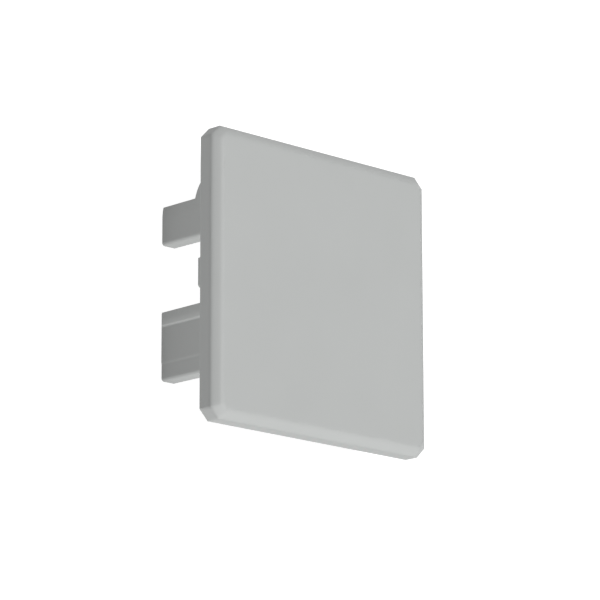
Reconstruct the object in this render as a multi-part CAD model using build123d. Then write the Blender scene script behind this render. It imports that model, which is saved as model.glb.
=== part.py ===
from build123d import *
from math import cos, radians, tan
import os

# End cap for a hollow square profile, moulded in one piece of grey plastic.
# A bevelled cover plate with cut corners closes the profile's end. The plug behind it grips the
# walls: two upper and two lower prongs, a low rim round the bore's rounded corners, and two pads.
# The origin is the centre of the plate's back face, where the profile's end bears.
# +Z points out through the front face, +Y to the side with the rim. Lengths are in millimetres.

# Profile that the cap closes
profile_size = 40.0
profile_wall = 2.3
bore_corner_radius = 8.0

# Cover plate
plate_thickness = 3.3
plate_corner_cut = 1.45
plate_bevel = 1.05
plate_front_round = 0.8
plate_edge_round = 0.15

# Plug, in plan: one wall that follows the bore
plug_clearance = 0.2
plug_wall = 2.2

# Plug, seen from the side: a foot is the lower side of a tab, from the plate's centre line
prong_length = 10.35
prong_draft = 0.3
upper_prong_foot = 5.92
upper_prong_height = 5.46
lower_prong_foot = -12.83
lower_prong_height = 9.4
pad_foot = -1.15
pad_height = 4.1
pad_depth = 3.05
rim_depth = 3.9

# Grip land: the raised strip along the upper edge of a lower prong's outer face. Below its flat it
# is crowned, then drops over a lip into a hollow root. It runs out in a lead-in above the tip.
land_flat_height = 0.8
land_crown_radius = 2.6
land_crown_slope = 20.0
land_lip_radius = 0.15
land_root_radius = 0.35
land_slope = 58.0
land_tip_setback = 0.2

# Step in a lower prong's outer face above its foot
foot_step_height = 2.75
foot_step_radius = 1.2
foot_step_slope = 12.0

# Moulded edges
foot_round = 0.45
tip_round = 0.15
root_fillet = 0.5

# Points closer together than this are taken as one
same_place = 0.001

plate_half = profile_size / 2
bore_half = plate_half - profile_wall
plug_half = bore_half - plug_clearance
upper_prong_middle = upper_prong_foot + upper_prong_height / 2
lower_prong_top = lower_prong_foot + lower_prong_height
crown_drop = land_crown_radius * (1 - cos(radians(land_crown_slope)))
lip_drop = land_lip_radius * (cos(radians(land_crown_slope)) - cos(radians(land_slope)))
root_drop = land_root_radius * (1 - cos(radians(land_slope)))
land_depth = crown_drop + lip_drop + root_drop
land_face = plug_half + land_depth


def cover_plate():
    """Square plate with cut corners and a bevel round its front, which runs softly into the front."""
    outline = chamfer(Rectangle(profile_size, profile_size).vertices(), plate_corner_cut)
    plate = extrude(outline, plate_thickness)
    plate = chamfer(plate.faces().sort_by(Axis.Z)[-1].edges(), plate_bevel)
    plate = fillet(plate.faces().sort_by(Axis.Z)[-1].edges(), plate_front_round)
    bevel_foot = plate_thickness - plate_bevel
    side_edges = plate.edges().filter_by_position(Axis.Z, bevel_foot - same_place, bevel_foot + same_place)
    plate = fillet(side_edges + plate.edges().filter_by(Axis.Z), plate_edge_round)
    return fillet(plate.faces().sort_by(Axis.Z)[0].edges(), plate_edge_round)


def bore_outline(inset):
    """The profile's bore drawn in by inset: its two corners on the +Y side are rounded."""
    side = 2 * (bore_half - inset)
    outline = Rectangle(side, side)
    rounded_corners = outline.vertices().group_by(Axis.Y)[-1]
    return fillet(rounded_corners, bore_corner_radius - inset)


def flank(start, direction, lip_radius, lip_turn, root_radius, root_turn):
    """Two arcs that run down from the start and step in: a round lip, then a hollow root."""
    lip = JernArc(start, direction, lip_radius, -lip_turn)
    root = JernArc(lip @ 1, lip % 1, root_radius, root_turn)
    return [lip, root]


def lower_prong_plan():
    """Right-hand lower prong in plan: the grip land on its outer face, and the step above its foot."""
    down = (0, -1)
    land_edge = (land_face, lower_prong_top - land_flat_height)
    crown = JernArc(land_edge, down, land_crown_radius, -land_crown_slope)
    lip_turn = land_slope - land_crown_slope
    land_flank = flank(crown @ 1, crown % 1, land_lip_radius, lip_turn, land_root_radius, land_slope)
    step_edge = (plug_half, lower_prong_foot + foot_step_height)
    foot_step = flank(step_edge, down, foot_step_radius, foot_step_slope, foot_step_radius, foot_step_slope)
    inner_face = plug_half - plug_wall
    foot_corner = ((foot_step[1] @ 1).X, lower_prong_foot)
    upper_sides = Polyline((inner_face, lower_prong_foot), (inner_face, lower_prong_top),
                           (land_face, lower_prong_top), land_edge)
    outer_side = Line(land_flank[1] @ 1, step_edge)
    foot_sides = Polyline(foot_step[1] @ 1, foot_corner, (inner_face, lower_prong_foot))
    return make_face([upper_sides, crown, *land_flank, outer_side, *foot_step, foot_sides])


def land_lead_in():
    """What the lead-in cuts from the land: all above the prong's face at the tip, then a 45 degree slope."""
    slope_foot = land_tip_setback - prong_length
    slope_top = slope_foot + plate_half - plug_half
    side_view = Polygon((plug_half, -prong_length), (plate_half, -prong_length), (plate_half, slope_top),
                        (plug_half, slope_foot), align=None)
    return extrude(Plane.XZ * side_view, plate_half, both=True)


def tapered_tab(foot, height, depth):
    """Side view of a tab that leaves the plate at its full height and narrows by the draft."""
    lean = depth * tan(radians(prong_draft))
    root = [(foot, 0), (foot + height, 0)]
    tip = [(foot + height - lean, -depth), (foot + lean, -depth)]
    return Polygon(*root, *tip, align=None)


def walls_in_side_view(plan, side_view):
    """The walls that rise on the plan, as far as the side view keeps them."""
    return extrude(plan, -prong_length) & extrude(Plane.YZ * side_view, plate_half, both=True)


def plug_walls():
    """Prongs, pads and rim with sharp edges."""
    rim_root = [(upper_prong_middle, 0), (plug_half, 0)]
    rim_tip = [(plug_half, -rim_depth), (upper_prong_middle, -rim_depth)]
    rim = Polygon(*rim_root, *rim_tip, align=None)
    upper_prong = tapered_tab(upper_prong_foot, upper_prong_height, prong_length)
    pad = tapered_tab(pad_foot, pad_height, pad_depth)
    sleeve = bore_outline(plug_clearance) - bore_outline(plug_clearance + plug_wall)
    upper_walls = walls_in_side_view(sleeve, rim + upper_prong + pad)
    lower_view = tapered_tab(lower_prong_foot, lower_prong_height, prong_length)
    lower_prong = walls_in_side_view(lower_prong_plan(), lower_view) - land_lead_in()
    return upper_walls + lower_prong + mirror(lower_prong, Plane.YZ)


def nearest_edges(body, points):
    """The edge of the body that lies nearest to each point."""
    return [body.edges().sort_by_distance(point)[0] for point in points]


def plug():
    """Prongs, pads and rim with rounded tips and rounded outer edges along the feet."""
    walls = plug_walls()
    feet = [(upper_prong_foot, prong_length), (lower_prong_foot, prong_length), (pad_foot, pad_depth)]
    foot_middles = [(side * plug_half, foot + depth / 2 * tan(radians(prong_draft)), -depth / 2)
                    for side in (-1, 1) for foot, depth in feet]
    walls = fillet(nearest_edges(walls, foot_middles), foot_round)
    tip_edges = [edge for tip in walls.faces().group_by(Axis.Z)[0] for edge in tip.edges()]
    return fillet(tip_edges, tip_round)


def end_cap():
    """Plate and plug in one, with a fillet where the plug's inner side meets the plate."""
    cap = cover_plate() + plug()
    inner_outline = bore_outline(plug_clearance + plug_wall).face().outer_wire()
    back_edges = cap.edges().filter_by_position(Axis.Z, -same_place, same_place)
    root_edges = [edge for edge in back_edges if inner_outline.distance_to(edge @ 0.5) < same_place]
    return fillet(root_edges, root_fillet)


os.makedirs("parts", exist_ok=True)
export_step(end_cap(), "parts/end_cap.step")
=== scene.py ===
from math import cos, pi, radians, sin

import bpy
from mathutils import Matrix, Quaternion, Vector


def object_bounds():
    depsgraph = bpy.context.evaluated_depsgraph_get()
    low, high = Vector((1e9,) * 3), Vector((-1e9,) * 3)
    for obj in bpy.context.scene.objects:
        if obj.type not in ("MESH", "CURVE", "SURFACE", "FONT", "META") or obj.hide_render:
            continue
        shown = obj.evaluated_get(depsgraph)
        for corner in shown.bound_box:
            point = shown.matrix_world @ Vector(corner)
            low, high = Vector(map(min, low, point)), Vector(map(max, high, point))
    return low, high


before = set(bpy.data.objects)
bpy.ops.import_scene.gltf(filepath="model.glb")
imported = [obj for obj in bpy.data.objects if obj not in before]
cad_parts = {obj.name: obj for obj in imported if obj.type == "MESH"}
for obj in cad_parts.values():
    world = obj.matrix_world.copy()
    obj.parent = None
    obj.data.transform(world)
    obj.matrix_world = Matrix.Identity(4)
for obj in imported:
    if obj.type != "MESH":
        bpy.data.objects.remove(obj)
cad_low, cad_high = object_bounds()

MM = 0.001
WHITE = (1, 1, 1, 1)

# The photograph's view of the cap: it lies face up, so the picture is rolled to stand its plate upright
CAMERA_AIM = Vector((-0.72, -0.38, -0.87)) * MM
CAMERA_AZIMUTH = radians(-70.39)
CAMERA_ELEVATION = radians(44.27)
CAMERA_ROLL = radians(75.94)
CAMERA_DISTANCE = 508.6 * MM
CAMERA_LENS = 224.7
SENSOR_WIDTH = 36.0
CLIP_START = 10 * MM
CLIP_END = 10.0

# Light, as a share of what makes a white surface that faces it white
SKY_LIGHT = 0.15
OVERHEAD_LIGHT = 0.917
OVERHEAD_SPREAD = radians(15)
OVERHEAD_DIRECTION = (0, 0, 1)
FRONT_LIGHT = 0.489
FRONT_SPREAD = radians(20)
FRONT_DIRECTION = (0, -1, 0.05)

# Floor: a pale sheet that glows, more brightly where the camera sees it
FLOOR_SIZE = 4.0
FLOOR_COLOUR = (0.25, 0.25, 0.25, 1)
FLOOR_GLOW = 0.648
FLOOR_GLOW_SEEN = 0.95

# Moulded plastic: clouds of colour and gloss, and a fine grain
PLASTIC_DARK = (0.425, 0.436, 0.430, 1)
PLASTIC_LIGHT = (0.445, 0.456, 0.450, 1)
PLASTIC_ROUGHNESS_LOW = 0.58
PLASTIC_ROUGHNESS_HIGH = 0.68
PLASTIC_IOR = 1.5
CLOUD_SIZE = 9 * MM
CLOUD_DETAIL = 3
GRAIN_SIZE = 0.16 * MM
GRAIN_DETAIL = 2
GRAIN_HEIGHT = 0.004 * MM

# How far the shading softens an edge: little on the prongs, more round the plate's front.
# It grows between the two heights above the plate's back face.
PRONG_EDGE_SOFTNESS = 0.15 * MM
FRONT_EDGE_SOFTNESS = 1.0 * MM
SOFTNESS_START = 0.3 * MM
SOFTNESS_END = 1.3 * MM
EDGE_SAMPLES = 8


def node(tree, kind, place, **values):
    """A node of the kind at the place in the editor, with its settings."""
    made = tree.nodes.new(kind)
    made.location = place
    for name, value in values.items():
        setattr(made, name, value)
    return made


def empty_material(name):
    """A node material with nothing in its tree."""
    material = bpy.data.materials.new(name)
    material.use_nodes = True
    material.node_tree.nodes.clear()
    return material


def moulded_plastic():
    """Light-grey satin plastic: faint clouds of colour and gloss, fine grain and soft edges."""
    material = empty_material("moulded_plastic")
    tree = material.node_tree
    place = node(tree, "ShaderNodeTexCoord", (-1480, 0))

    clouds = node(tree, "ShaderNodeTexNoise", (-760, 200))
    clouds.inputs["Scale"].default_value = 1 / CLOUD_SIZE
    clouds.inputs["Detail"].default_value = CLOUD_DETAIL
    colour = node(tree, "ShaderNodeValToRGB", (-520, 300))
    colour.color_ramp.elements[0].color = PLASTIC_DARK
    colour.color_ramp.elements[1].color = PLASTIC_LIGHT
    gloss = node(tree, "ShaderNodeMapRange", (-520, 0))
    gloss.inputs["To Min"].default_value = PLASTIC_ROUGHNESS_LOW
    gloss.inputs["To Max"].default_value = PLASTIC_ROUGHNESS_HIGH

    height = node(tree, "ShaderNodeSeparateXYZ", (-1240, -420))
    softness = node(tree, "ShaderNodeMapRange", (-1000, -420))
    softness.inputs["From Min"].default_value = SOFTNESS_START
    softness.inputs["From Max"].default_value = SOFTNESS_END
    softness.inputs["To Min"].default_value = PRONG_EDGE_SOFTNESS
    softness.inputs["To Max"].default_value = FRONT_EDGE_SOFTNESS
    soft_edges = node(tree, "ShaderNodeBevel", (-760, -420), samples=EDGE_SAMPLES)

    grain = node(tree, "ShaderNodeTexNoise", (-760, -200))
    grain.inputs["Scale"].default_value = 1 / GRAIN_SIZE
    grain.inputs["Detail"].default_value = GRAIN_DETAIL
    bump = node(tree, "ShaderNodeBump", (-520, -300))
    bump.inputs["Distance"].default_value = GRAIN_HEIGHT

    plastic = node(tree, "ShaderNodeBsdfPrincipled", (-200, 100))
    plastic.inputs["IOR"].default_value = PLASTIC_IOR
    output = node(tree, "ShaderNodeOutputMaterial", (120, 100))

    join = tree.links.new
    join(place.outputs["Object"], clouds.inputs["Vector"])
    join(clouds.outputs["Fac"], colour.inputs["Fac"])
    join(clouds.outputs["Fac"], gloss.inputs["Value"])
    join(place.outputs["Object"], height.inputs["Vector"])
    join(height.outputs["Z"], softness.inputs["Value"])
    join(softness.outputs["Result"], soft_edges.inputs["Radius"])
    join(place.outputs["Object"], grain.inputs["Vector"])
    join(grain.outputs["Fac"], bump.inputs["Height"])
    join(soft_edges.outputs["Normal"], bump.inputs["Normal"])
    join(colour.outputs["Color"], plastic.inputs["Base Color"])
    join(gloss.outputs["Result"], plastic.inputs["Roughness"])
    join(bump.outputs["Normal"], plastic.inputs["Normal"])
    join(plastic.outputs["BSDF"], output.inputs["Surface"])
    return material


def pale_sheet():
    """The floor's matt sheet, which glows. It can be seen through from below."""
    material = empty_material("pale_sheet")
    tree = material.node_tree
    matt = node(tree, "ShaderNodeBsdfDiffuse", (-400, 100))
    matt.inputs["Color"].default_value = FLOOR_COLOUR
    rays = node(tree, "ShaderNodeLightPath", (-800, 0))
    strength = node(tree, "ShaderNodeMapRange", (-600, 0))
    strength.inputs["To Min"].default_value = FLOOR_GLOW
    strength.inputs["To Max"].default_value = FLOOR_GLOW_SEEN
    glow = node(tree, "ShaderNodeEmission", (-400, -60))
    lit = node(tree, "ShaderNodeAddShader", (-180, 60))
    side = node(tree, "ShaderNodeNewGeometry", (-180, 300))
    clear = node(tree, "ShaderNodeBsdfTransparent", (-180, -120))
    sheet = node(tree, "ShaderNodeMixShader", (40, 60))
    output = node(tree, "ShaderNodeOutputMaterial", (260, 60))

    join = tree.links.new
    join(rays.outputs["Is Camera Ray"], strength.inputs["Value"])
    join(strength.outputs["Result"], glow.inputs["Strength"])
    join(matt.outputs["BSDF"], lit.inputs[0])
    join(glow.outputs["Emission"], lit.inputs[1])
    join(side.outputs["Backfacing"], sheet.inputs["Fac"])
    join(lit.outputs["Shader"], sheet.inputs[1])
    join(clear.outputs["BSDF"], sheet.inputs[2])
    join(sheet.outputs["Shader"], output.inputs["Surface"])
    return material


def floor():
    """Plain floor that the cap's prong tips stand on."""
    bpy.ops.object.select_all(action="DESELECT")
    bpy.ops.mesh.primitive_plane_add(size=FLOOR_SIZE, location=(0, 0, cad_low.z))
    sheet = bpy.context.object
    sheet.name = "floor"
    sheet.data.materials.append(pale_sheet())


def studio_lamp(name, strength, spread, direction, shadows):
    """A far, wide lamp. Its light comes from the direction, which points out from the cap."""
    lamp = bpy.data.lights.new(name, "SUN")
    lamp.energy = strength * pi
    lamp.angle = spread
    lamp.use_shadow = shadows
    holder = bpy.data.objects.new(name, lamp)
    holder.rotation_mode = "QUATERNION"
    holder.rotation_quaternion = Vector(direction).to_track_quat("Z", "Y")
    bpy.context.scene.collection.objects.link(holder)


def studio_sky():
    """Even light from all round. What the camera sees past the floor is plain white."""
    world = bpy.data.worlds.new("studio_sky")
    world.use_nodes = True
    tree = world.node_tree
    tree.nodes.clear()
    light = node(tree, "ShaderNodeBackground", (-200, 100))
    light.inputs["Color"].default_value = WHITE
    light.inputs["Strength"].default_value = SKY_LIGHT
    backdrop = node(tree, "ShaderNodeBackground", (-200, -60))
    backdrop.inputs["Color"].default_value = WHITE
    rays = node(tree, "ShaderNodeLightPath", (-200, 440))
    seen = node(tree, "ShaderNodeMixShader", (40, 60))
    output = node(tree, "ShaderNodeOutputWorld", (260, 60))

    join = tree.links.new
    join(rays.outputs["Is Camera Ray"], seen.inputs["Fac"])
    join(light.outputs["Background"], seen.inputs[1])
    join(backdrop.outputs["Background"], seen.inputs[2])
    join(seen.outputs["Shader"], output.inputs["Surface"])
    bpy.context.scene.world = world


def camera():
    """The photograph's viewpoint, and the roll of its picture."""
    back = Vector((sin(CAMERA_AZIMUTH) * cos(CAMERA_ELEVATION),
                   -cos(CAMERA_AZIMUTH) * cos(CAMERA_ELEVATION),
                   sin(CAMERA_ELEVATION)))
    lens = bpy.data.cameras.new("camera")
    lens.lens = CAMERA_LENS
    lens.sensor_width = SENSOR_WIDTH
    lens.clip_start = CLIP_START
    lens.clip_end = CLIP_END
    holder = bpy.data.objects.new("camera", lens)
    holder.location = CAMERA_AIM + back * CAMERA_DISTANCE
    holder.rotation_mode = "QUATERNION"
    upright = (-back).to_track_quat("-Z", "Y")
    holder.rotation_quaternion = upright @ Quaternion((0, 0, 1), CAMERA_ROLL)
    bpy.context.scene.collection.objects.link(holder)
    bpy.context.scene.camera = holder


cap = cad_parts["end_cap"]
cap.material_slots[0].material = moulded_plastic()

floor()
studio_sky()
studio_lamp("overhead_lamp", OVERHEAD_LIGHT, OVERHEAD_SPREAD, OVERHEAD_DIRECTION, shadows=True)
studio_lamp("front_lamp", FRONT_LIGHT, FRONT_SPREAD, FRONT_DIRECTION, shadows=False)
camera()
bpy.context.scene.view_settings.view_transform = "Standard"
